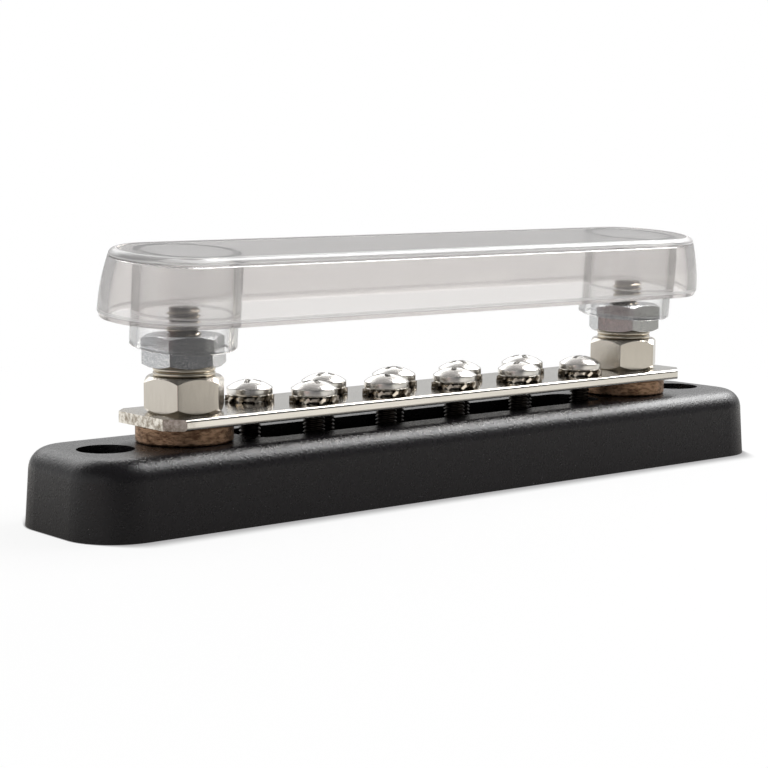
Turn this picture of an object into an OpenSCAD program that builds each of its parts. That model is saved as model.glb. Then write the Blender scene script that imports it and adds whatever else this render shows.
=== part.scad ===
// Busbar with cover: a moulded base, two terminal studs, a plated bar with two
// staggered rows of terminal screws, and a clear cover that drops over the stud nuts.
// Millimetres, +Z up. The origin is the middle of the base's underside.

/* [Base] */
// Length of the base at its foot
base_l = 165; // [150:1:200]
// Width of the base at its foot
base_w = 30.7; // [28:0.1:40]
// Height of the base
base_h = 13.5; // [11:0.1:20]
// Radius of the base's corners in plan, at its foot
base_corner_r = 9.6; // [7:0.1:13]
// How far the walls lean in from foot to top
base_draft = 0.9; // [0.3:0.1:1.5]
// Radius of the rounded top edge
base_edge_r = 3.8; // [1:0.1:5]
// Distance of each mounting hole from the end of the base
hole_inset = 11; // [8:0.1:14]
// Diameter of the mounting holes
hole_d = 5.2; // [3:0.1:6.5]
// Diameter of the recess for the mounting screw's head
hole_head_d = 10; // [8:0.1:12]
// Depth of that recess
hole_head_depth = 7; // [2:0.5:9]
// Distance from each stud to the end of the trough under the terminal screws
trough_inset = 11.4; // [9.5:0.1:14]
// Width of the trough
trough_w = 12.8; // [12.4:0.1:16]
// Depth of the trough
trough_depth = 6; // [5:0.1:7.5]
// Corner radius of the trough in plan
trough_corner_r = 4; // [1:0.1:6]
// Depth of the cells that core out the underside
cell_depth = 5; // [2:0.1:5.5]
// Thickness of the ribs between the cells
rib_t = 1.8; // [1:0.1:4]
// Distance from each stud to the end of the area that the cells core out
cored_inset = 11.4; // [9.5:0.1:14]
// Width of the area that the cells core out
cored_w = 21; // [16:0.1:24]
// Number of cells along the base, in two rows
cell_columns = 6; // [3:1:8]

/* [Studs] */
// Distance of each terminal stud from the end of the base
stud_inset = 27.1; // [24:0.1:30]
// Diameter of the stud's thread
stud_d = 6; // [5:0.1:7]
// Length of the stud from under its head
stud_l = 32; // [30:0.5:40]
// Width across flats of the stud's head
stud_head_af = 10; // [8:0.1:12]
// Height of the stud's head
stud_head_h = 4; // [2:0.1:5]
// How far the head sits above the foot of the base
stud_head_recess = 1; // [0.5:0.1:2]
// Chamfer on the stud's end
stud_chamfer = 0.6; // [0.2:0.1:1]

/* [Spacers] */
// Diameter of the spacers under the bar
spacer_d = 17.2; // [14:0.1:19]
// Thickness of the spacers
spacer_h = 3.2; // [2:0.1:6]
// Radius of the spacers' worn edges
spacer_edge_r = 0.5; // [0.2:0.1:0.9]

/* [Bar] */
// How far the bar reaches past each stud
bar_overhang = 9.1; // [7.5:0.1:12]
// Width of the bar
bar_w = 19.8; // [17.5:0.1:22]
// Thickness of the bar
bar_t = 2; // [1.5:0.1:4]
// Radius of the bar's long edges
bar_edge_r = 0.55; // [0.1:0.05:0.7]
// Size of the sheared corners
bar_corner = 3; // [1:0.1:6]

/* [Stud nuts] */
// Width across flats of the nuts on the studs
nut_af = 13; // [11:0.1:14]
// Height of the nuts that clamp the bar
clamp_nut_h = 6.3; // [4:0.1:8]
// Height of the terminal nuts
terminal_nut_h = 5.6; // [4:0.1:6.5]
// Slope of the chamfer on the nuts' corners
nut_chamfer_angle = 40; // [25:1:45]
// Diameter of the nuts' flat end faces as a share of the width across flats
nut_face_share = 0.97; // [0.9:0.01:0.99]
// Turn of the left clamp nut
left_clamp_turn = 47.4; // [0:0.1:60]
// Turn of the right clamp nut
right_clamp_turn = 38.6; // [0:0.1:60]
// Turn of the left terminal nut
left_terminal_turn = 37.1; // [0:0.1:60]
// Turn of the right terminal nut
right_terminal_turn = 57.8; // [0:0.1:60]
// Outside diameter of the spring washers
spring_washer_od = 11; // [9.5:0.1:12.5]
// Thickness of the spring washers
spring_washer_h = 1.6; // [1:0.1:2.5]
// Width of the split in the spring washers
spring_washer_split = 0.7; // [0.3:0.1:1.5]
// Slant of that split
spring_washer_slant = 20; // [0:1:30]

/* [Terminal screws] */
// Number of terminal screws, in two staggered rows
screw_count = 10; // [10:1:10]
// Distance along the bar from each stud to the nearest screw
screw_inset = 16.925; // [15:0.025:20]
// Distance between the two rows
screw_row_gap = 8; // [7:0.1:8.2]
// Diameter of the screw thread
screw_d = 4; // [3:0.1:4.2]
// Length of the screw under its head
screw_l = 10; // [8:0.1:11]
// Diameter of the pan head
screw_head_d = 8.4; // [7:0.1:8.6]
// Height of the pan head
screw_head_h = 2.8; // [2:0.1:3.5]
// Height of the head's straight side under the dome
screw_side_h = 1.35; // [0.8:0.05:1.6]
// Radius of the head's lower edge
screw_edge_r = 0.4; // [0.1:0.05:0.6]
// Length of each slot of the cross recess
recess_l = 4.4; // [3:0.1:5]
// Width of the cross recess's slots
recess_w = 0.9; // [0.5:0.1:1.4]
// Turn of the cross recess from one screw to the next
screw_turn_step = 37; // [0:1:90]
// Depth of the cross recess
recess_depth = 1.5; // [0.5:0.1:1.8]
// Diameter over the lock washer's teeth
lock_washer_od = 9; // [8:0.1:9.5]
// Diameter of the lock washer's plain ring
lock_ring_od = 6.8; // [6:0.1:7.4]
// Thickness of the lock washer's sheet
lock_washer_t = 0.55; // [0.3:0.05:0.7]
// Height of the lock washer over its twisted teeth
lock_washer_h = 1.1; // [0.8:0.05:1.3]
// Number of teeth
lock_teeth = 10; // [8:1:12]
// Width of a tooth as a share of its pitch on the plain ring
lock_tooth_share = 0.55; // [0.4:0.05:0.7]
// Twist of the teeth out of the washer's plane
lock_tooth_twist = 40; // [20:1:45]

/* [Cover] */
// How far the cover's rim reaches past each stud
cover_overhang = 15.5; // [14:0.1:18]
// Width of the cover at its rim
cover_w = 26.2; // [25:0.1:30]
// Height of the cover's shell from its rim to its top
cover_h = 11.8; // [10:0.1:16]
// Wall thickness of the cover
cover_wall = 1.8; // [1.2:0.1:2.2]
// Radius of the bulge that leans the walls in
cover_bulge_r = 38; // [30:1:80]
// Radius of the rounded top edge
cover_edge_r = 1.4; // [1:0.1:2.5]
// How far the rounded edge is cut back by the faces, which leaves a fine line along each side of it
cover_crease = 0.03; // [0.02:0.01:0.1]
// Height of the bevel round the rim
rim_bevel_h = 1; // [0.4:0.1:1.5]
// Width of the bevel round the rim
rim_bevel_w = 0.4; // [0.2:0.1:0.8]
// Outside diameter of the tubes that stand on the nuts
tube_od = 18.8; // [18.2:0.1:20.5]
// Radius of the tubes' lower edge
tube_edge_r = 0.6; // [0.2:0.1:0.8]
// How far the tubes reach below the rim
tube_drop = 5.2; // [2:0.1:7]
// How far the tubes reach down over the nuts
tube_grip = 2.3; // [1.5:0.1:5]
// How far the loose cover leans forward on its nuts
cover_lean = 5; // [0:0.5:5]

/* [Clearances] */
// Gap round the studs in the base, spacers, bar and washers
stud_gap = 0.1; // [0.05:0.05:0.2]
// Gap between a thread and its nut or tapped hole
thread_gap = 0.05; // [0.02:0.01:0.1]
// Gap between a nut's corners and the cover's tube, which lets the cover lean
tube_gap = 0.5; // [0.45:0.01:0.6]
// Gap under a piece that lifts off its seat
seat_gap = 0.02; // [0.01:0.01:0.1]

/* [Hidden] */
$fn = 96;
overcut = 1;
hole_spacing = base_l - 2 * hole_inset;
stud_spacing = base_l - 2 * stud_inset;
trough_l = stud_spacing - 2 * trough_inset;
cored_l = stud_spacing - 2 * cored_inset;
bar_l = stud_spacing + 2 * bar_overhang;
cover_l = stud_spacing + 2 * cover_overhang;
screw_step = (stud_spacing - 2 * screw_inset) / (screw_count - 1);
base_top = base_h;
bar_bottom = base_top + spacer_h;
bar_top = bar_bottom + bar_t;
clamp_nut_top = bar_top + clamp_nut_h;
spring_washer_bottom = clamp_nut_top + seat_gap;
terminal_nut_bottom = spring_washer_bottom + spring_washer_h + seat_gap;
terminal_nut_top = terminal_nut_bottom + terminal_nut_h;
tube_bottom = terminal_nut_top - tube_grip;
rim_z = tube_bottom + tube_drop;
cover_top = rim_z + cover_h;
nut_corner_r = nut_af / 2 / cos(30);
tube_bore_r = nut_corner_r + tube_gap;
lock_washer_bottom = bar_top + seat_gap;
screw_head_bottom = lock_washer_bottom + lock_washer_h + seat_gap;
draft_angle = atan(base_draft / base_h);
sides = ["left", "right"];
clamp_turns = [left_clamp_turn, right_clamp_turn];
terminal_turns = [left_terminal_turn, right_terminal_turn];
screws = [1:screw_count];

function stud_x(side) = (side == 0 ? -1 : 1) * stud_spacing / 2;
function screw_x(i) = (i - (screw_count + 1) / 2) * screw_step;
function screw_turn(i) = (i * screw_turn_step) % 90;
function screw_y(i) = (i % 2 == 1 ? 1 : -1) * screw_row_gap / 2;

// Half of the base's section: a drafted wall with a rounded top edge, reach wide at the foot
module base_edge(reach) {
    centre = [
        reach - (base_h - base_edge_r) * tan(draft_angle) - base_edge_r / cos(draft_angle),
        base_h - base_edge_r
    ];
    wall_end = centre + base_edge_r * [cos(draft_angle), sin(draft_angle)];
    polygon([[0, 0], [reach, 0], wall_end, [centre.x, base_h], [0, base_h]]);
    translate(centre) circle(base_edge_r);
}

// The base's outside: a straight middle, two ends and four quarter-round corners
module base_block() {
    mid_l = base_l - 2 * base_corner_r;
    mid_w = base_w - 2 * base_corner_r;
    for (half = [0, 1]) {
        mirror([0, half, 0])
            rotate([90, 0, 90]) linear_extrude(mid_l, center = true) base_edge(base_w / 2);
        mirror([half, 0, 0])
            translate([mid_l / 2, 0, 0])
                rotate([90, 0, 0]) linear_extrude(mid_w, center = true) base_edge(base_corner_r);
    }
    for (turn = [0, 1], half = [0, 1])
        mirror([turn, 0, 0]) mirror([0, half, 0])
            translate([mid_l / 2, mid_w / 2, 0])
                rotate_extrude(angle = 90) base_edge(base_corner_r);
}

// A slot-shaped pocket with round corners
module pocket(l, w, r, h) {
    linear_extrude(h) {
        square([l - 2 * r, w], center = true);
        square([l, w - 2 * r], center = true);
        for (x = [-1, 1], y = [-1, 1])
            translate([x * (l / 2 - r), y * (w / 2 - r)]) circle(r);
    }
}

// Moulded base: drafted block with a trough for the screw ends, recessed mounting holes,
// hex pockets that hold the stud heads, and cells that core out the underside
module base() {
    cell_step = (cored_l + rib_t) / cell_columns;
    cell_w = (cored_w - rib_t) / 2;
    color([0.13, 0.13, 0.14])
    difference() {
        base_block();
        translate([0, 0, base_top - trough_depth])
            pocket(trough_l, trough_w, trough_corner_r, trough_depth + overcut);
        for (side = [-1, 1]) {
            translate([side * hole_spacing / 2, 0, -overcut])
                cylinder(d = hole_d, h = base_h + 2 * overcut);
            translate([side * hole_spacing / 2, 0, base_top - hole_head_depth])
                cylinder(d = hole_head_d, h = hole_head_depth + overcut);
            translate([side * stud_spacing / 2, 0, 0]) {
                translate([0, 0, -overcut])
                    cylinder(d = stud_d + 2 * stud_gap, h = base_h + 2 * overcut);
                translate([0, 0, -overcut])
                    cylinder(
                        d = (stud_head_af + 2 * stud_gap) / cos(30),
                        h = stud_head_recess + stud_head_h + overcut,
                        $fn = 6
                    );
            }
        }
        for (column = [0:cell_columns - 1], row = [-1, 1])
            translate([
                (column - (cell_columns - 1) / 2) * cell_step,
                row * (cell_w + rib_t) / 2,
                -overcut
            ])
                pocket(cell_step - rib_t, cell_w, rib_t, cell_depth + overcut);
    }
}

// Nickel plated bar with rounded long edges and sheared corners
module busbar() {
    flat_w = bar_w - 2 * bar_edge_r;
    color([0.78, 0.76, 0.72])
    difference() {
        intersection() {
            translate([0, 0, (bar_bottom + bar_top) / 2])
                rotate([90, 0, 90])
                    linear_extrude(bar_l, center = true) {
                        square([flat_w, bar_t], center = true);
                        square([bar_w, bar_t - 2 * bar_edge_r], center = true);
                        for (y = [-1, 1], z = [-1, 1])
                            translate([y * flat_w / 2, z * (bar_t / 2 - bar_edge_r)])
                                circle(bar_edge_r);
                    }
            translate([0, 0, bar_bottom - overcut])
                linear_extrude(bar_t + 2 * overcut)
                    polygon([
                        for (corner = [[1, 1], [-1, 1], [-1, -1], [1, -1]])
                            let (
                                end = [corner.x * bar_l / 2, corner.y * (bar_w / 2 - bar_corner)],
                                edge = [corner.x * (bar_l / 2 - bar_corner), corner.y * bar_w / 2]
                            )
                            each (corner.x * corner.y > 0 ? [end, edge] : [edge, end])
                    ]);
        }
        for (side = [0, 1])
            translate([stud_x(side), 0, bar_bottom - overcut])
                cylinder(d = stud_d + 2 * stud_gap, h = bar_t + 2 * overcut);
        for (i = screws)
            translate([screw_x(i), screw_y(i), bar_bottom - overcut])
                cylinder(d = screw_d + 2 * thread_gap, h = bar_t + 2 * overcut);
    }
}

// Hexagon with both ends chamfered round its corners
module chamfered_hex(af, h) {
    corner_r = af / 2 / cos(30);
    face_r = af / 2 * nut_face_share;
    outer_r = corner_r + overcut;
    fall = (outer_r - face_r) * tan(nut_chamfer_angle);
    intersection() {
        cylinder(r = corner_r, h = h, $fn = 6);
        rotate_extrude()
            polygon([
                [0, 0], [face_r, 0], [outer_r, fall],
                [outer_r, h - fall], [face_r, h], [0, h]
            ]);
    }
}

// Stud: a hex head in the base's pocket and a plain shank for the thread
module stud(side) {
    head_top = stud_head_recess + stud_head_h;
    color([0.62, 0.58, 0.52])
    translate([stud_x(side), 0, 0]) {
        translate([0, 0, stud_head_recess]) chamfered_hex(stud_head_af, stud_head_h);
        translate([0, 0, head_top])
            cylinder(d = stud_d, h = stud_l - stud_chamfer);
        translate([0, 0, head_top + stud_l - stud_chamfer])
            cylinder(d1 = stud_d, d2 = stud_d - 2 * stud_chamfer, h = stud_chamfer);
    }
}

// Copper spacer that carries the bar above the base
module spacer(side) {
    bore_r = stud_d / 2 + stud_gap;
    color([0.68, 0.48, 0.34])
    translate([stud_x(side), 0, base_top])
        rotate_extrude() {
            translate([bore_r, 0])
                square([spacer_d / 2 - spacer_edge_r - bore_r, spacer_h]);
            translate([bore_r, spacer_edge_r])
                square([spacer_d / 2 - bore_r, spacer_h - 2 * spacer_edge_r]);
            for (z = [spacer_edge_r, spacer_h - spacer_edge_r])
                translate([spacer_d / 2 - spacer_edge_r, z]) circle(spacer_edge_r);
        }
}

// Nut with its threaded bore
module nut(h) {
    difference() {
        chamfered_hex(nut_af, h);
        translate([0, 0, -overcut])
            cylinder(d = stud_d + 2 * thread_gap, h = h + 2 * overcut);
    }
}

// Tall nut that clamps the bar and carries the cable lug
module clamp_nut(side) {
    color([0.74, 0.71, 0.66])
    translate([stud_x(side), 0, bar_top])
        rotate(clamp_turns[side]) nut(clamp_nut_h);
}

// Split spring washer, shown pressed flat
module spring_washer(side) {
    color([0.7, 0.66, 0.58])
    translate([stud_x(side), 0, spring_washer_bottom])
        difference() {
            cylinder(d = spring_washer_od, h = spring_washer_h);
            translate([0, 0, -overcut])
                cylinder(d = stud_d + 2 * stud_gap, h = spring_washer_h + 2 * overcut);
            rotate([spring_washer_slant, 0, 0])
                translate([0, -spring_washer_split / 2, -spring_washer_h])
                    cube([spring_washer_od, spring_washer_split, 4 * spring_washer_h]);
        }
}

// Terminal nut that presses the lug onto the clamp nut
module terminal_nut(side) {
    color([0.7, 0.71, 0.72])
    translate([stud_x(side), 0, terminal_nut_bottom])
        rotate(terminal_turns[side]) nut(terminal_nut_h);
}

// Half section of a pan head: rounded lower edge, straight side and domed top
module pan_head_section() {
    head_r = screw_head_d / 2;
    dome_h = screw_head_h - screw_side_h;
    dome_r = (head_r * head_r + dome_h * dome_h) / (2 * dome_h);
    square([head_r - screw_edge_r, screw_side_h]);
    translate([0, screw_edge_r]) square([head_r, screw_side_h - screw_edge_r]);
    translate([head_r - screw_edge_r, screw_edge_r]) circle(screw_edge_r);
    intersection() {
        translate([0, screw_head_h - dome_r]) circle(dome_r);
        translate([0, screw_side_h]) square([head_r, dome_h]);
    }
}

// Pan head terminal screw with a cross recess and a plain shank for the thread
module terminal_screw(i) {
    color([0.8, 0.79, 0.77])
    translate([screw_x(i), screw_y(i), screw_head_bottom])
        difference() {
            union() {
                rotate_extrude() pan_head_section();
                translate([0, 0, -screw_l]) cylinder(d = screw_d, h = screw_l);
            }
            rotate(screw_turn(i))
                for (turn = [0, 90])
                    rotate(turn)
                        translate([-recess_l / 2, -recess_w / 2, screw_head_h - recess_depth])
                            cube([recess_l, recess_w, recess_depth + overcut]);
        }
}

// Toothed lock washer, captive under the screw's head, its teeth twisted out of its plane
module lock_washer(i) {
    inner_r = screw_d / 2 + stud_gap;
    tooth_l = lock_washer_od / 2 - lock_ring_od / 2 + lock_washer_t;
    tooth_w = lock_ring_od * PI / lock_teeth * lock_tooth_share;
    color([0.66, 0.64, 0.6])
    translate([screw_x(i), screw_y(i), lock_washer_bottom])
        intersection() {
            cylinder(d = lock_washer_od, h = lock_washer_h);
            translate([0, 0, lock_washer_h / 2])
                difference() {
                    union() {
                        cylinder(d = lock_ring_od, h = lock_washer_t, center = true);
                        for (tooth = [1:lock_teeth])
                            rotate(tooth * 360 / lock_teeth)
                                translate([lock_washer_od / 2 - tooth_l / 2, 0, 0])
                                    rotate([lock_tooth_twist, 0, 0])
                                        cube([tooth_l, tooth_w, lock_washer_t], center = true);
                    }
                    cylinder(r = inner_r, h = lock_washer_h, center = true);
                }
        }
}

// Half section of the cover's form: a bulging wall, reach wide at the rim, and a rounded top edge
module cover_section(reach, bulge_r, edge_r, h) {
    bulge_x = reach - bulge_r;
    edge_x = bulge_x + sqrt(pow(bulge_r - edge_r, 2) - pow(h - edge_r, 2));
    edge_angle = atan2(h - edge_r, edge_x - bulge_x);
    beyond = 2 * edge_r;
    difference() {
        intersection() {
            translate([bulge_x, 0]) circle(bulge_r);
            square([reach, h]);
        }
        translate([edge_x, h - edge_r])
            difference() {
                polygon([
                    [0, 0], beyond * [cos(edge_angle), sin(edge_angle)],
                    [beyond, beyond], [0, beyond]
                ]);
                circle(edge_r + cover_crease);
            }
    }
}

// Outside of the cover: the section with its rim bevelled
module cover_outer_section() {
    reach = cover_w / 2;
    difference() {
        cover_section(reach, cover_bulge_r, cover_edge_r, cover_h);
        polygon([
            [reach - rim_bevel_w, -overcut], [reach - rim_bevel_w, 0], [reach, rim_bevel_h],
            [reach + overcut, rim_bevel_h], [reach + overcut, -overcut]
        ]);
    }
}

// Inside of the cover: the section one wall further in
module cover_inner_section() {
    inner_reach = cover_w / 2 - cover_wall;
    inner_edge_r = max(cover_edge_r - cover_wall, cover_wall / 4);
    cover_section(inner_reach, cover_bulge_r - cover_wall, inner_edge_r, cover_h - cover_wall);
    translate([0, -overcut]) square([inner_reach, overcut]);
}

// Carries a half section along the straight sides and round both ends
module along_cover() {
    straight = cover_l - cover_w;
    for (half = [0, 1]) {
        mirror([0, half, 0])
            rotate([90, 0, 90])
                linear_extrude(straight, center = true) children();
        mirror([half, 0, 0])
            translate([straight / 2, 0, 0])
                rotate(-90) rotate_extrude(angle = 180) children();
    }
}

// Tube that hangs from the cover's ceiling
module grip_tube() {
    tube_r = tube_od / 2;
    tube_h = tube_drop + cover_h - cover_wall / 2;
    rotate_extrude() {
        translate([0, tube_edge_r]) square([tube_r, tube_h - tube_edge_r]);
        square([tube_r - tube_edge_r, tube_h]);
        translate([tube_r - tube_edge_r, tube_edge_r]) circle(tube_edge_r);
    }
}

// Clear moulded cover: a shell with round ends and two tubes that drop over the terminal nuts
module cover() {
    color([0.85, 0.86, 0.86, 0.45])
    translate([0, 0, terminal_nut_top])
        rotate([cover_lean, 0, 0])
            translate([0, 0, rim_z - terminal_nut_top])
                difference() {
                    union() {
                        difference() {
                            along_cover() cover_outer_section();
                            along_cover() cover_inner_section();
                        }
                        for (side = [0, 1])
                            translate([stud_x(side), 0, -tube_drop]) grip_tube();
                    }
                    for (side = [0, 1])
                        translate([stud_x(side), 0, -tube_drop - overcut])
                            cylinder(r = tube_bore_r, h = overcut + tube_drop + cover_h - cover_wall);
                }
}

base();
busbar();
cover();
for (side = [0, 1]) {
    stud(side);
    spacer(side);
    clamp_nut(side);
    spring_washer(side);
    terminal_nut(side);
}
for (i = screws) {
    terminal_screw(i);
    lock_washer(i);
}
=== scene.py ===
import bpy
import numpy as np
from mathutils import Matrix, Vector


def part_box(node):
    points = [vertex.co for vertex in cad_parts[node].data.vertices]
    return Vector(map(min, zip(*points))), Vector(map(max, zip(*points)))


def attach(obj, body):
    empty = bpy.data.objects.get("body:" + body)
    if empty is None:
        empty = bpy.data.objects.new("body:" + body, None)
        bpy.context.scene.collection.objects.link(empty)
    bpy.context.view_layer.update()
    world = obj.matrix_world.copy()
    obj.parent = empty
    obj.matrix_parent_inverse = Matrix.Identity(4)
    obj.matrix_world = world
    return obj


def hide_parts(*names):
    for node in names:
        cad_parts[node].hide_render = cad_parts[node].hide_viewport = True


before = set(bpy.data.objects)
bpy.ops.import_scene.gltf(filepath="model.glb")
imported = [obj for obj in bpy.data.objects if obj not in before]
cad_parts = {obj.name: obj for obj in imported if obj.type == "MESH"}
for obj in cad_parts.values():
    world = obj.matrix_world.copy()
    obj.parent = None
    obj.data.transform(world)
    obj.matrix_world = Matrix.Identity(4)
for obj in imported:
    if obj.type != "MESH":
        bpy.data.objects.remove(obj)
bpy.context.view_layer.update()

# The base: one black moulding with a fine spark-eroded grain on every outside face.
# It is left as it comes from the mould, so it is dull except where it is seen at a low angle.

MM = 0.001
GRAIN, GRAIN_DEPTH = 0.4 * MM, 0.085 * MM
BLACK = (0.0095, 0.0084, 0.01, 1)


def operator(operation):
    """An operator of Shade and its reflected form, each of which adds one Math node."""

    def forward(self, other):
        return self.math(operation, self, other)

    def reflected(self, other):
        return self.math(operation, other, self)

    return forward, reflected


class Shade:
    """A shader socket that Python's own operators work on."""

    def __init__(self, tree, socket):
        self.tree, self.socket = tree, socket

    def node(self, kind, settings=None, **sockets):
        """Adds a node: its settings are set first, then its sockets get values or links.
        A socket goes by its name, with _ for a space, or by _ and its number."""
        made = self.tree.nodes.new(kind)
        for name, value in (settings or {}).items():
            setattr(made, name, value)
        for name, value in sockets.items():
            key = int(name[1:]) if name[0] == "_" else name.replace("_", " ")
            if isinstance(value, Shade):
                self.tree.links.new(value.socket, made.inputs[key])
            else:
                made.inputs[key].default_value = value
        return Shade(self.tree, made.outputs[0])

    def out(self, key):
        """Another output of the node that this socket belongs to, by its name or number."""
        return Shade(self.tree, self.socket.node.outputs[key])

    def math(self, operation, a, b=0.0):
        """A Math node on one or two values."""
        return self.node("ShaderNodeMath", {"operation": operation}, _0=a, _1=b)

    __add__, __radd__ = operator("ADD")
    __sub__, __rsub__ = operator("SUBTRACT")
    __mul__, __rmul__ = operator("MULTIPLY")
    __truediv__, __rtruediv__ = operator("DIVIDE")
    __pow__, __rpow__ = operator("POWER")

    def __abs__(self):
        return self.math("ABSOLUTE", self)

    def larger(self, other):
        """The larger of two values."""
        return self.math("MAXIMUM", self, other)

    def ramp(self, low, high):
        """0 below low, 1 above high, and a smooth step between them."""
        return self.node("ShaderNodeMapRange", {"interpolation_type": "SMOOTHSTEP"},
                         Value=self, From_Min=low, From_Max=high)

    def mix(self, a, b):
        """Colour a where this value is 0 and colour b where it is 1: the Mix node's third output."""
        return self.node("ShaderNodeMix", {"data_type": "RGBA"}, _0=self, _6=a, _7=b).out(2)

    def noise(self, size, detail=2.0, rough=0.5):
        """Noise with cells about size metres across, on a place in the object."""
        return self.node("ShaderNodeTexNoise", Vector=self, Scale=1.0 / size, Detail=detail,
                         Roughness=rough)

    def bump(self, height, strength=1.0):
        """A normal tilted by this value as a height of that many metres."""
        return self.node("ShaderNodeBump", Height=self, Distance=height, Strength=strength)


def finish(name, **constants):
    """A Principled material: its constants are set on the shader's own sockets.
    Gives the material, its place on Object coordinates and a call that links what varies."""
    material = bpy.data.materials.new(name)
    material.use_nodes = True
    tree = material.node_tree
    shader = tree.nodes["Principled BSDF"]
    for key, value in constants.items():
        shader.inputs[key.replace("_", " ")].default_value = value
    place = Shade(tree, tree.nodes.new("ShaderNodeTexCoord").outputs["Object"])

    def link(**varying):
        for key, value in varying.items():
            tree.links.new(value.socket, shader.inputs[key.replace("_", " ")])

    return material, place, link


def dress(material, *nodes):
    """Gives CAD nodes their finish."""
    for node in nodes:
        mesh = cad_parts[node].data
        mesh.materials.clear()
        mesh.materials.append(material)


moulding, place, link = finish("black moulding", Base_Color=BLACK)
grain = place.noise(GRAIN, detail=3.0, rough=0.6)
link(Normal=grain.bump(GRAIN_DEPTH), Roughness=0.22 + 0.12 * place.noise(3 * GRAIN))
dress(moulding, "base")

# The spacers: two discs sawn from copper rod and left rough, one under each end of the bar.
# Sawing leaves streaks along their rims, with bright copper between the dark oxide.

PIT, PIT_DEPTH, STREAK = 0.55 * MM, 0.2 * MM, 0.4
OXIDE, BARE_COPPER = (0.2, 0.11, 0.065, 1), (0.68, 0.445, 0.29, 1)
copper, place, link = finish("sawn copper", Metallic=1.0)
sawn = place.node("ShaderNodeMapping", Vector=place, Scale=(STREAK, STREAK, 1.0))
pits = sawn.noise(PIT, detail=5.0, rough=0.65)
oxide = place.noise(4 * PIT, detail=3.0)
bare = (0.65 * pits + 0.35 * oxide).ramp(0.38, 0.6)
link(Base_Color=bare.mix(OXIDE, BARE_COPPER), Roughness=0.34 + 0.25 * oxide,
     Normal=pits.bump(PIT_DEPTH, 0.8))
dress(copper, "left_spacer", "right_spacer")

# The bar: a flat of brass with rolled edges and sheared corners, nickel plated.
# Its top is bright enough to show the screws standing on it, and its left end is worn dull.

DRAWN, DRAWN_STRETCH, PLATE_WAVE = 0.5 * MM, 0.06, 0.003 * MM
WORN_FROM, WORN_TO, WORN_SPOT = 58 * MM, 65 * MM, 1.1 * MM
BRIGHT_NICKEL, WORN_NICKEL = (0.76, 0.735, 0.685, 1), (0.34, 0.29, 0.23, 1)
nickel, place, link = finish("nickel plate", Metallic=1.0)
along_bar = place.node("ShaderNodeMapping", Vector=place, Scale=(DRAWN_STRETCH, 1.0, 1.0))
drawn = along_bar.noise(DRAWN)
to_left = 0.0 - place.node("ShaderNodeSeparateXYZ", Vector=place).out("X")
spots = place.noise(WORN_SPOT, detail=5.0, rough=0.65).ramp(0.34, 0.66)
worn = to_left.ramp(WORN_FROM, WORN_TO) * spots
link(Base_Color=worn.mix(BRIGHT_NICKEL, WORN_NICKEL), Roughness=0.1 + 0.1 * drawn + 0.15 * worn,
     Normal=(drawn + worn).bump(PLATE_WAVE, 0.4))
dress(nickel, "busbar")

# The studs: steel bolts pressed up through the base, with their hex heads in its underside.
# The thread is rolled, so its crests are blunt, and its roots are painted dark, as painted shade.

SIDES = ("left", "right")
TURN_POINTS = 96
STUD_X, STUD_R, STUD_ROOT_R, STUD_PITCH, STUD_CHAMFER, STUD_TIP = 55.4, 3.0, 2.45, 1.0, 0.6, 0.02
HEX_FLATS, HEX_H, HEX_FALL, HEX_FACE_SHARE = 10.0, 4.0, 0.5, 0.97
ROOT_SHADE_R, CREST_R = 2.55 * MM, 2.95 * MM
ROOT_SHADE_DARK, BARE_STEEL = (0.09, 0.072, 0.055, 1), (0.62, 0.56, 0.47, 1)


def radial(a, b):
    """The length of two shader values at right angles."""
    return (a * a + b * b) ** 0.5


def box_mm(node):
    """The lowest and highest corners of a CAD node's box, in millimetres."""
    return (np.array(corner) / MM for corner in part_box(node))


def plain_rings(*radii):
    """Rings that have one radius all the way round."""
    return np.repeat(np.array(radii, float)[:, None], TURN_POINTS, 1)


def lathe(radius, height, shape=None):
    """A closed surface turned about the Z axis. Row k of the grid is a ring at the given height with a
    radius for each turn; shape, if there is one, takes the rings' x, y, z and gives them back changed.
    The first and last rings have no radius, so each becomes one point."""
    turn = np.linspace(0, 2 * np.pi, TURN_POINTS, endpoint=False)
    x, y = radius * np.cos(turn), radius * np.sin(turn)
    z = np.broadcast_to(height[:, None], radius.shape)
    if shape:
        x, y, z = shape(x, y, z)
    rings = np.stack([x, y, z], -1)
    points = np.concatenate([rings[:1, 0], rings[1:-1].reshape(-1, 3), rings[-1:, 0]])
    ring = np.arange(TURN_POINTS)
    after = np.roll(ring, -1)
    first = 1 + TURN_POINTS * np.arange(len(height) - 3)[:, None]
    sides = np.stack([first + ring, first + after, first + TURN_POINTS + after,
                      first + TURN_POINTS + ring], -1).reshape(-1, 4)
    top = 1 + TURN_POINTS * (len(height) - 3)
    floor = np.stack([np.zeros_like(ring), 1 + after, 1 + ring], -1)
    roof = np.stack([top + ring, top + after, np.full_like(ring, len(points) - 1)], -1)
    return points, sides.tolist() + floor.tolist() + roof.tolist()


def thread_wave(turns, steep=1.6, cut=0.3):
    """Height of a rolled thread, 0 at its root and 1 at its crest, as a function of turns along it:
    a triangle wave with its tips cut flat."""
    return np.clip(steep * (1 - np.abs(2 * (turns % 1.0) - 1)) - cut, 0, 1)


def thread_rows(bottom, top, pitch, steps=8):
    """Heights of a thread's rings, evenly spaced, with so many steps to each pitch."""
    return np.linspace(bottom, top, max(2, round((top - bottom) / pitch * steps)))


def thread_radius(height, pitch, major, minor):
    """A right-hand thread: the radius rises and falls with the height less the pitch per turn."""
    turn = np.linspace(0, 1, TURN_POINTS, endpoint=False)
    return minor + (major - minor) * thread_wave(height[:, None] / pitch - turn)


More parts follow.
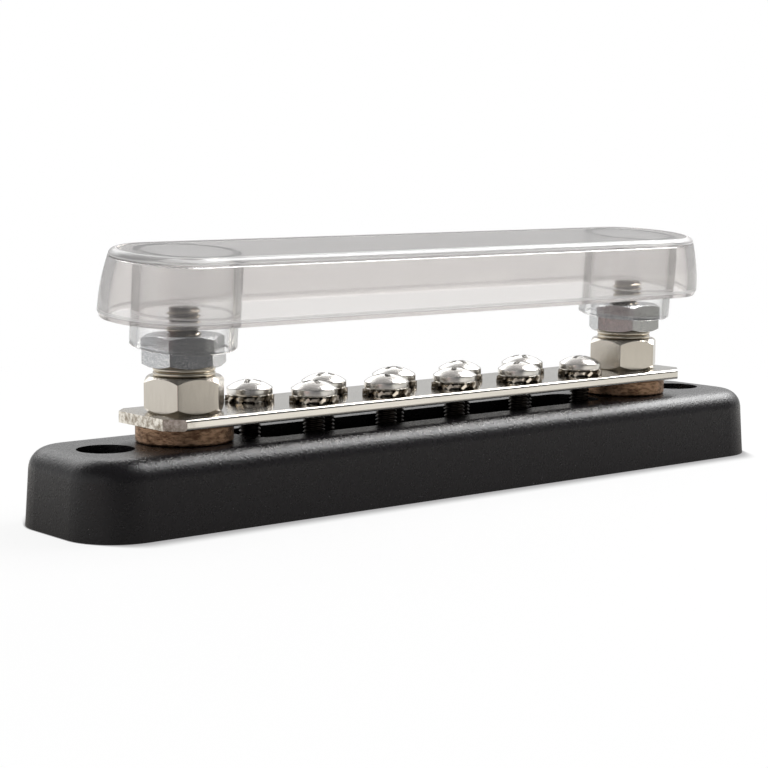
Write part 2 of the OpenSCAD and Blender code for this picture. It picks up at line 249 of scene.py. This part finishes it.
def hexagon(flats):
    """Distance from a hexagon's centre to its side, by turn."""
    turn = np.linspace(0, 2 * np.pi, TURN_POINTS, endpoint=False)
    return flats / 2 / np.cos((turn % (np.pi / 3)) - np.pi / 6)


def piece(name, points, faces, material, body, node, smooth_angle=40):
    """A new piece, with its points in millimetres, that stands for a CAD node and rides on its body."""
    mesh = bpy.data.meshes.new(name)
    mesh.from_pydata((points * MM).tolist(), [], faces)
    mesh.materials.append(material)
    mesh.shade_smooth()
    mesh.set_sharp_from_angle(angle=np.radians(smooth_angle))
    obj = bpy.data.objects.new(name, mesh)
    bpy.context.collection.objects.link(obj)
    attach(obj, body)
    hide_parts(node)
    return obj


steel, place, link = finish("stud steel", Metallic=1.0, Roughness=0.2)
local = place.node("ShaderNodeSeparateXYZ", Vector=place)
# painted shade: the thread is coloured dark towards its roots
from_axis = radial(abs(local.out("X")) - STUD_X * MM, local.out("Y"))
link(Base_Color=from_axis.ramp(ROOT_SHADE_R, CREST_R).mix(ROOT_SHADE_DARK, BARE_STEEL))
head, face_r = hexagon(HEX_FLATS), HEX_FLATS / 2 * HEX_FACE_SHARE
for side in SIDES:
    low, high = box_mm(side + "_stud")
    head_top = low[2] + HEX_H
    shank = thread_rows(head_top, high[2] - STUD_TIP, STUD_PITCH)
    end_cone = STUD_R - STUD_CHAMFER + np.clip(high[2] - shank, 0, STUD_CHAMFER)
    shank_r = np.minimum(thread_radius(shank, STUD_PITCH, STUD_R, STUD_ROOT_R), end_cone[:, None])
    radius = np.concatenate([plain_rings(0, face_r), [head, head], plain_rings(face_r), shank_r,
                             plain_rings(0)])
    head_z = [low[2], low[2], low[2] + HEX_FALL, head_top - HEX_FALL, head_top]
    points, faces = lathe(radius, np.concatenate([head_z, shank, [high[2]]]))
    points[:, 0] += (low[0] + high[0]) / 2
    piece(side + "_threaded_stud", points, faces, steel, "frame", side + "_stud")

# The nuts: two tall clamp nuts that hold the bar down, and two terminal nuts above them.
# All are cut from hex bar, chamfered round their corners and plated.

CUT, CUT_STRETCH, CUT_DEPTH = 0.35 * MM, 0.1, 0.003 * MM
PEBBLE, PEBBLE_DEPTH = 0.22 * MM, 0.032 * MM
CLAMP_NICKEL = (0.63, 0.59, 0.53, 1)
ZINC_HOLLOW, ZINC_CREST = (0.46, 0.47, 0.485, 1), (0.66, 0.665, 0.665, 1)
NUT_FLATS, NUT_EDGE_R, NUT_BORE_R = 13.0, 0.22, 3.05
clamp_plate, place, link = finish("clamp nut plate", Metallic=1.0, Base_Color=CLAMP_NICKEL)
upright = place.node("ShaderNodeMapping", Vector=place, Scale=(1.0, 1.0, CUT_STRETCH))
cut = upright.noise(CUT)
link(Roughness=0.18 + 0.1 * cut, Normal=cut.bump(CUT_DEPTH, 0.3))
zinc, place, link = finish("terminal nut plate", Metallic=1.0)
pebble = place.noise(PEBBLE)
link(Base_Color=pebble.ramp(0.45, 0.6).mix(ZINC_HOLLOW, ZINC_CREST),
     Roughness=0.14 + 0.1 * pebble, Normal=pebble.bump(PEBBLE_DEPTH, 0.9))
# how many degrees each nut is turned, the radius of its flat face, the fall of its chamfer,
# its plate and its body
NUTS = {"left_clamp_nut": (47.4, 6.305, 1.0, clamp_plate, "frame"),
        "right_clamp_nut": (38.6, 6.305, 1.0, clamp_plate, "frame"),
        "left_terminal_nut": (37.1, 6.42, 0.55, zinc, "left_terminal_nut"),
        "right_terminal_nut": (57.8, 6.42, 0.55, zinc, "right_terminal_nut")}


def round_hexagon(flats, r, arc_points=7, flat_points=9):
    """Turns and distances of a hexagon's outline: each corner is an arc of radius r round a smaller
    hexagon's corner, and the points between two arcs lie on the flat."""
    half_sixth = np.pi / 6
    arc = np.linspace(-half_sixth, half_sixth, arc_points)
    corner = (flats / 2 - r) / np.cos(half_sixth)
    end = (flats / 2 - r) * np.tan(half_sixth)
    flat = np.linspace(-end, end, flat_points)[1:-1]
    lie = np.array([[np.cos(half_sixth), np.sin(half_sixth)], [-np.sin(half_sixth), np.cos(half_sixth)]])
    side = np.stack([np.full_like(flat, flats / 2), flat], -1) @ lie
    sixth = np.concatenate([np.stack([corner + r * np.cos(arc), r * np.sin(arc)], -1), side])
    turn, reach = np.arctan2(sixth[:, 1], sixth[:, 0]), np.hypot(sixth[:, 0], sixth[:, 1])
    return (turn + np.radians(np.arange(0, 360, 60))[:, None]).ravel(), np.tile(reach, 6)


def wrapped(rings):
    """Points and faces of a grid of rings that is closed both ways, like a ring round its own hole.
    Each face joins a ring's point to the next point and to the next ring."""
    index = np.arange(rings.shape[0] * rings.shape[1]).reshape(rings.shape[:2])
    on = np.roll(index, -1, 1)
    faces = np.stack([index, on, np.roll(on, -1, 0), np.roll(index, -1, 0)], -1)
    return rings.reshape(-1, 3), faces.reshape(-1, 4).tolist()


turn, sides = round_hexagon(NUT_FLATS, NUT_EDGE_R)
for node, (lie, face_r, chamfer, plate, body) in NUTS.items():
    low, high = box_mm(node)
    fall = chamfer * (sides - face_r) / (sides.max() - face_r)
    half_r = np.stack([np.full_like(sides, NUT_BORE_R), np.full_like(sides, face_r), sides])
    half_z = np.stack([0 * fall, 0 * fall, fall])
    r = np.concatenate([half_r, half_r[::-1]])
    z = np.concatenate([low[2] + half_z, high[2] - half_z[::-1]])
    way = turn + np.radians(lie)
    rings = np.stack([(low[0] + high[0]) / 2 + r * np.cos(way), r * np.sin(way), z], -1)
    piece(node + "_hex", *wrapped(rings), plate, body, node, smooth_angle=25)

# The spring washers: flat wire with round edges, coiled twice and pressed flat by the nut above.
# A slanted split shows where the coils end.

LOBE_R, WASHER_BORE_R, SPLIT, SPLIT_SLANT = 0.32, 3.1, 0.7, np.radians(20)
WASHER_ROWS = 72
WASHER_NICKEL = (0.66, 0.61, 0.52, 1)
bright, _, _ = finish("spring washer plate", Metallic=1.0, Base_Color=WASHER_NICKEL, Roughness=0.14)


def two_coils(half_w, half_h, points=9):
    """A closed outline of two flat coils lying on each other: each side of a coil is half an ellipse."""
    arc = np.linspace(-np.pi / 2, np.pi / 2, points)[:-1]
    lobe = np.stack([half_w - LOBE_R + LOBE_R * np.cos(arc), half_h / 2 * np.sin(arc)], -1)
    right = np.concatenate([lobe - [0, half_h / 2], lobe + [0, half_h / 2]])
    return np.concatenate([right, -right])


for side in SIDES:
    low, high = box_mm(side + "_spring_washer")
    centre = (low + high) / 2
    outer_r = (high[0] - low[0]) / 2
    mid_r = (outer_r + WASHER_BORE_R) / 2
    across, over = two_coils((outer_r - WASHER_BORE_R) / 2, (high[2] - low[2]) / 2).T
    share = np.linspace(0, 1, WASHER_ROWS)[:, None]
    lean = over * np.tan(SPLIT_SLANT) / mid_r
    turn = SPLIT / 2 / mid_r + (2 * np.pi - SPLIT / mid_r) * share - lean
    r = mid_r + across
    rings = np.stack(np.broadcast_arrays(centre[0] + r * np.cos(turn), centre[1] + r * np.sin(turn),
                                         centre[2] + over), -1)
    index = np.arange(turn.size).reshape(turn.shape)
    on = np.roll(index, -1, 1)
    faces = np.stack([index[:-1], index[1:], on[1:], on[:-1]], -1).reshape(-1, 4).tolist()
    faces += [index[0].tolist(), index[-1, ::-1].tolist()]
    washer = side + "_spring_washer"
    piece(side + "_split_washer", rings.reshape(-1, 3), faces, bright, washer, washer)

# The terminal screws: pan-head machine screws with a cross recess, polished and nickel plated.
# Each turns in a tapped hole in the bar; its shank below the bar and its recess are painted dark, as
# painted shade.

SCREWS = range(1, 11)
SCREW_PITCH, SCREW_MAJOR, SCREW_MINOR = 0.7, 2.0, 1.62
SHANK_L, SHANK_TIP, SHANK_CHAMFER, SHANK_NECK = 10.0, 0.02, 0.4, 0.05
HEAD_R, HEAD_H, HEAD_SIDE_H, HEAD_EDGE_R, BROW_R = 4.2, 2.8, 1.35, 0.4, 0.25
EDGE_RINGS, BROW_RINGS, DOME_RINGS = 7, 6, 52
RECESS_L, RECESS_W, RECESS_DEPTH, RECESS_WALL, RECESS_TURN = 4.4, 0.95, 1.3, 0.15, 37
DOME_FOOT, RECESS_REACH = 0.01, 1.0
SHADED_BELOW, SHADED_FADE = 17.0, 0.5
POLISHED, PAINTED_SHADE_DARK = (0.83, 0.815, 0.785, 1), (0.06, 0.052, 0.045, 1)
polish, place, link = finish("polished screw", Metallic=1.0)
height = place.node("ShaderNodeSeparateXYZ", Vector=place).out("Z")
# painted shade: the screw is coloured dark below the bar's underside and inside its recess
under_bar_shade = 1.0 - height.ramp((SHADED_BELOW - SHADED_FADE) * MM, (SHADED_BELOW + SHADED_FADE) * MM)
inside = place.node("ShaderNodeAttribute", {"attribute_name": "recess"}).out("Fac")
painted_shade = under_bar_shade.larger(inside)
link(Base_Color=painted_shade.mix(POLISHED, PAINTED_SHADE_DARK), Roughness=0.25 + 0.1 * painted_shade)


def slot(along, over):
    """How far a point is inside one slot of the recess."""
    return np.minimum(RECESS_L / 2 - np.abs(along), RECESS_W / 2 - np.abs(over))


def cross_recess(x, y, turn):
    """Depth of a cross recess: two slots with sloping walls, each deep by how far a point is inside."""
    a, b = x * np.cos(turn) + y * np.sin(turn), y * np.cos(turn) - x * np.sin(turn)
    return RECESS_DEPTH * np.clip(np.maximum(slot(a, b), slot(b, a)) / RECESS_WALL, 0, 1)


# the head's half section: a round lower edge, a straight side, a round brow and a domed top
edge = np.linspace(-np.pi / 2, 0, EDGE_RINGS)
dome_h = HEAD_H - HEAD_SIDE_H
dome_r = (HEAD_R ** 2 + dome_h ** 2) / (2 * dome_h)
brow_z = HEAD_H - dome_r + np.sqrt((dome_r - BROW_R) ** 2 - (HEAD_R - BROW_R) ** 2)
brow = np.linspace(0, np.arctan2(brow_z - HEAD_H + dome_r, HEAD_R - BROW_R), BROW_RINGS)
brow_r = HEAD_R - BROW_R + BROW_R * np.cos(brow)
dome = np.linspace(brow_r[-1], 0, DOME_RINGS)[1:]
head_r = np.concatenate([HEAD_R - HEAD_EDGE_R + HEAD_EDGE_R * np.cos(edge), brow_r, dome])
head_z = np.concatenate([HEAD_EDGE_R + HEAD_EDGE_R * np.sin(edge), brow_z + BROW_R * np.sin(brow),
                         HEAD_H - dome_r + np.sqrt(dome_r ** 2 - dome ** 2)])
for i in SCREWS:
    node = "terminal_screw_%d" % i
    low, high = box_mm(node)
    seat = low[2] + SHANK_L
    shank = thread_rows(low[2] + SHANK_TIP, seat - SHANK_NECK, SCREW_PITCH)
    end_cone = SCREW_MAJOR - SHANK_CHAMFER + np.clip(shank - low[2], 0, SHANK_CHAMFER)
    shank_r = np.minimum(thread_radius(shank, SCREW_PITCH, SCREW_MAJOR, SCREW_MINOR), end_cone[:, None])
    turn = np.radians(i * RECESS_TURN % 90)

    def sink(x, y, z):
        """Lowers the dome by the depth of the recess."""
        return x, y, np.where(z > seat + HEAD_SIDE_H + DOME_FOOT, z - cross_recess(x, y, turn), z)

    points, faces = lathe(np.concatenate([plain_rings(0), shank_r, plain_rings(*head_r)]),
                          np.concatenate([[low[2]], shank, seat + head_z]), sink)
    # how deep each point lies in the recess, kept as an attribute for the recess's painted shade
    in_head = points[:, 2] > seat + HEAD_SIDE_H - RECESS_REACH
    sunk = cross_recess(points[:, 0], points[:, 1], turn) / RECESS_DEPTH * in_head
    points[:, :2] += (low[:2] + high[:2]) / 2
    screw = piece("pan_screw_%d" % i, points, faces, polish, node, node)
    screw.data.attributes.new("recess", "FLOAT", "POINT").data.foreach_set("value", sunk.astype(np.float32))

# The lock washers: rings of spring steel with twisted teeth, one captive under each screw's head.
# They are stamped and plated bright, so the teeth glint between the head and the bar.

TOOTHED_PLATE = (0.76, 0.69, 0.6, 1)
toothed, _, _ = finish("toothed washer plate", Metallic=1.0, Base_Color=TOOTHED_PLATE, Roughness=0.12)
dress(toothed, *("lock_washer_%d" % i for i in SCREWS))

# The cover: a clear moulding with a slight haze, that stands loose on the terminal nuts.
# Its walls lean in, its rim is bevelled, and a tube at each end drops over a nut.

COVER_LEAN, COVER_PIVOT, COVER_RIM = np.radians(5), 32.24, 35.14
STRAIGHT, BEVEL_H, CREASE_H, TOP_REACH, LINE_HALF = 115.6, 1.0, 10.8, 10.2, 0.25
TUBE_R, TUBE_FADE, TUBE_TOP = 9.4, 0.2, (10.2, 10.5)
SHELL_TINT, TUBE_TINT = (0.93, 0.909, 0.897, 1), (1, 1, 1, 1)
HAZE, HIGHLIGHT_WHITE = (0.9, 0.885, 0.88, 1), (0.93, 0.92, 0.92, 1)
HAZE_ALL, HAZE_SHELL, ROUNDING_HIGHLIGHT, EDGE_HIGHLIGHT = 0.015, 0.07, 0.26, 0.45
clear, place, link = finish("clear moulding", Roughness=0.075, IOR=1.46,
                            Transmission_Weight=0.97, Coat_Weight=0.2, Coat_Roughness=0.06)
upright = place.node("ShaderNodeMapping", {"vector_type": "TEXTURE"}, Vector=place,
                     Location=(0, 0, COVER_PIVOT * MM), Rotation=(COVER_LEAN, 0, 0), Scale=(MM, MM, MM))
local = upright.node("ShaderNodeSeparateXYZ", Vector=upright)
level = local.out("Z") - (COVER_RIM - COVER_PIVOT)
reach = radial((abs(local.out("X")) - STRAIGHT / 2).larger(0.0), local.out("Y"))
tube_reach = radial(abs(local.out("X")) - STUD_X, local.out("Y"))


def line(value, at):
    """1 where a value is as given, and 0 half a line's width away from it."""
    return 1.0 - abs(value - at).ramp(0.0, LINE_HALF)


def laid_over(material, share, other):
    """Shows another shader in place of a material's own one, by a share from 0 to 1."""
    tree = material.node_tree
    own = Shade(tree, tree.nodes["Principled BSDF"].outputs[0])
    mixed = own.node("ShaderNodeMixShader", _0=share, _1=own, _2=other)
    tree.links.new(mixed.socket, tree.nodes["Material Output"].inputs[0])


# the tubes are shown clearer than the shell round them, up to the roof
tube = (1.0 - tube_reach.ramp(TUBE_R, TUBE_R + TUBE_FADE)) * (1.0 - level.ramp(*TUBE_TOP))
link(Base_Color=tube.mix(SHELL_TINT, TUBE_TINT))
# painted highlights: a white band on the rounding above the crease, and white lines at the rim's bevel, at
# the crease and along the top's outer edge
rounding_highlight = level.ramp(CREASE_H - 0.2, CREASE_H + 0.1) * reach.ramp(TOP_REACH - 0.2, TOP_REACH + 0.1)
brow = line(reach, TOP_REACH) * level.ramp(CREASE_H + 0.3, CREASE_H + 0.6)
edge_highlights = line(level, BEVEL_H).larger(line(level, CREASE_H) + brow)
haze = place.node("ShaderNodeBsdfTranslucent", Color=HAZE)
highlight_white = place.node("ShaderNodeBsdfPrincipled", Base_Color=HIGHLIGHT_WHITE, Roughness=0.3)
# the haze, with the white of the painted highlights laid over it
haze_and_highlights = place.node("ShaderNodeMixShader", _0=edge_highlights.larger(rounding_highlight), _1=haze, _2=highlight_white)
shell = level.ramp(-0.5, 0.5) * (1.0 - tube)
laid_over(clear, HAZE_ALL + HAZE_SHELL * shell + ROUNDING_HIGHLIGHT * rounding_highlight + EDGE_HIGHLIGHT * edge_highlights, haze_and_highlights)
dress(clear, "cover")

# The studio floor: a sheet of white paper, which is white to the camera and through the cover.
# Bright metal shows a painted reflection instead: the paper dimmer near the object, as painted shade, and
# past the paper's end a painted room round the table.

FLOOR_HALF, FLOOR_DROP = 3.0, 0.02 * MM
WHITE, NO_LIGHT, PAPER = (1, 1, 1, 1), (0, 0, 0, 1), (0.8, 0.8, 0.8, 1)
NEAR_DARK, NEAR_LIT, FOOT_GREY = (0.31, 0.295, 0.28, 1), (1.15, 1.12, 1.06, 1), (0.42, 0.415, 0.42, 1)
PAPER_END, SHADE_REACH, WHITE_SHARE, MIRROR_SHARE, WALL_LOSS_AND_SHADE = (0.17, 0.22), (0.1, 0.22), 0.9, 0.95, 0.4
FOOT_L, FOOT_W, FOOT_R = 165 * MM, 30.7 * MM, 9.6 * MM
FOOT_SHADE, FOOT_LINE, FOOT_UNDER, LONG_SIDES = 5 * MM, 0.4 * MM, 2 * MM, 6
OWN_SHADE, DARK_ROOM = (62 * MM, 86 * MM), (0.1, 0.5)
# headings on the floor in degrees, and the room's tone at each
ROOM = ((0, 0.8, 0.8, 0.78), (150, 1, 1, 1), (168, 1, 1, 1), (186, 0.55, 0.34, 0.3), (202, 0.4, 0.2, 0.18),
        (212, 0.12, 0.12, 0.13), (254, 0.05, 0.055, 0.07), (264, 0.8, 0.78, 0.72), (290, 0.8, 0.78, 0.72),
        (310, 0.55, 0.53, 0.47), (345, 0.75, 0.75, 0.72), (360, 0.8, 0.8, 0.78))
corners = FLOOR_HALF * np.array([(-1, -1), (1, -1), (1, 1), (-1, 1)])
floor_mesh = bpy.data.meshes.new("floor")
floor_mesh.from_pydata([(x, y, -FLOOR_DROP) for x, y in corners], [], [(0, 1, 2, 3)])
floor = bpy.data.objects.new("floor", floor_mesh)
bpy.context.collection.objects.link(floor)


def sight(tree):
    """The Light Path node, and 1 for rays from the camera, straight or through the cover."""
    rays = Shade(tree, tree.nodes.new("ShaderNodeLightPath").outputs["Is Camera Ray"])
    through = rays.out("Is Transmission Ray") * (1.0 - rays.out("Glossy Depth").ramp(0.0, 1.0))
    return rays, rays.larger(through)


paper, ground, _ = finish("white paper", Base_Color=PAPER, Roughness=0.9)
rays, seen = sight(paper.node_tree)
flat = ground.node("ShaderNodeSeparateXYZ", Vector=ground)
away = ground.node("ShaderNodeVectorMath", {"operation": "LENGTH"}, _0=ground).out("Value")
heading = flat.math("FRACT", 1.0 + flat.math("ARCTAN2", flat.out("Y"), flat.out("X")) * (0.5 / np.pi))
room = heading.node("ShaderNodeValToRGB", _0=heading)
stops = room.socket.node.color_ramp.elements
while len(stops) < len(ROOM):
    stops.new(0.5)
for stop, (degrees, *tone) in zip(stops, ROOM):
    stop.position, stop.color = degrees / 360, (*tone, 1)
# a grey shadow is painted along the long sides of the base's foot, by the gap to the base
out_x = (abs(flat.out("X")) - (FOOT_L / 2 - FOOT_R)).larger(0.0)
out_y = (abs(flat.out("Y")) - (FOOT_W / 2 - FOOT_R)).larger(0.0)
reach = radial(out_x, out_y)
gap = reach - FOOT_R
lit = (gap / (FOOT_SHADE * (out_y / reach) ** LONG_SIDES + FOOT_LINE)).ramp(0.0, 1.0)
# painted shade in reflections: the paper near the object is darker, most where the room beyond is dark
near = (room.ramp(*DARK_ROOM) * gap.ramp(*OWN_SHADE)).mix(NEAR_DARK, NEAR_LIT)
# a reflection that leaves through the cover is painted darker: partly the light lost in its walls, partly
# painted shade
inside = rays.out("Is Transmission Ray") * (1.0 - seen)
mirrored = (WALL_LOSS_AND_SHADE * inside).mix(away.ramp(*PAPER_END).mix(near, room), NO_LIGHT)
glow = ground.node("ShaderNodeEmission", Color=seen.mix(mirrored, lit.mix(FOOT_GREY, WHITE)))
white = WHITE_SHARE + (1.0 - WHITE_SHARE) * away.ramp(*SHADE_REACH)
mirror = MIRROR_SHARE * (inside + rays.out("Is Glossy Ray") * (1.0 - seen))
laid_over(paper, (seen * white * gap.ramp(-FOOT_UNDER, 0.0)).larger(mirror), glow)
floor_mesh.materials.append(paper)

# The studio's surroundings: white to the camera and through the cover.
# To everything else it is a dim room with a bright back above eye level and a pale wall at the left.

BEHIND, LEFT_WALL = (0.695, 0.719, 0), (-0.97, 0.24, 0)
ROOM_LIGHT, WALL_LIGHT, BACK_LOW, BACK_HIGH, BACK_FADE = 0.12, 0.45, 0.41, 2.0, 1.5
EYE_LEVEL, BACK_TOP, BACK_SIDE = (0.24, 0.38), (0.5, 0.85), (0.1, 0.7)
WALL_SIDE, WALL_TOP = (0.35, 0.8), (0.3, 0.7)
scene = bpy.context.scene
world = bpy.data.worlds.new("studio")
scene.world = world
world.use_nodes = True
tree = world.node_tree
_, seen = sight(tree)
way = Shade(tree, tree.nodes.new("ShaderNodeTexCoord").outputs["Generated"])


def along(direction):
    """How far a ray points along a direction."""
    return way.node("ShaderNodeVectorMath", {"operation": "DOT_PRODUCT"}, _0=way, _1=direction).out("Value")


rise = along((0, 0, 1))
low = 1.0 - rise.ramp(*EYE_LEVEL)
high = (1.0 - low) * (BACK_HIGH - BACK_FADE * rise.ramp(*BACK_TOP))
back = along(BEHIND).ramp(*BACK_SIDE) * (BACK_LOW * low + high)
wall = along(LEFT_WALL).ramp(*WALL_SIDE) * (1.0 - rise.ramp(*WALL_TOP))
sky = tree.nodes["Background"]
sky.inputs["Color"].default_value = WHITE
tree.links.new(seen.larger(ROOM_LIGHT + back + WALL_LIGHT * wall).socket, sky.inputs["Strength"])

# The lamps: a broad soft light overhead, a soft box high at the right and a weak one behind.
# The overhead light shows in no reflection and not through the cover.


def soft_light(name, place, target, size, power):
    """A broad rectangular lamp at a place in metres, turned to face a target."""
    lamp = bpy.data.lights.new(name, "AREA")
    lamp.shape = "RECTANGLE"
    lamp.size, lamp.size_y = size
    lamp.energy = power
    obj = bpy.data.objects.new(name, lamp)
    aim = (Vector(place) - Vector(target)).to_track_quat("Z", "Y")
    obj.matrix_world = Matrix.Translation(place) @ aim.to_matrix().to_4x4()
    bpy.context.collection.objects.link(obj)
    return obj


overhead = soft_light("overhead", (0.0, 0.05, 0.6), (0, 0, 0.02), (0.7, 0.5), 0.8)
overhead.visible_glossy = overhead.visible_transmission = False
soft_light("right box", (0.5, -0.04, 0.58), (0, 0, 0.015), (0.45, 0.45), 6.0)
soft_light("back box", (-0.09, 0.58, 0.5), (0, 0, 0.015), (0.4, 0.3), 0.35)

# The camera: low at the left front corner, with a long lens.
# Its place and turn were fitted to the base's outline in the photo.

AZIMUTH, ELEVATION, ROLL = np.radians((-39.91, 7.0, 0.313))
CAMERA_PLACE = (-0.2461, -0.2822, 0.0652)
FOCAL_PIXELS, IMAGE_PIXELS, SENSOR_W = 1960.8, 768, 36
right = np.array((np.cos(AZIMUTH), np.sin(AZIMUTH), 0))
back = np.array((np.sin(AZIMUTH) * np.cos(ELEVATION), -np.cos(AZIMUTH) * np.cos(ELEVATION),
                 np.sin(ELEVATION)))
up = np.cross(back, right)
rolled_right = np.cos(ROLL) * right + np.sin(ROLL) * up
rolled_up = np.cos(ROLL) * up - np.sin(ROLL) * right
lens = bpy.data.cameras.new("camera")
lens.sensor_width = SENSOR_W
lens.lens = FOCAL_PIXELS / IMAGE_PIXELS * SENSOR_W
lens.clip_start = 0.01
camera = bpy.data.objects.new("camera", lens)
turned = np.eye(4)
turned[:3, :3] = np.stack([rolled_right, rolled_up, back], -1)
turned[:3, 3] = CAMERA_PLACE
camera.matrix_world = Matrix(turned.tolist())
bpy.context.collection.objects.link(camera)
scene.camera = camera
scene.view_settings.view_transform = "Standard"
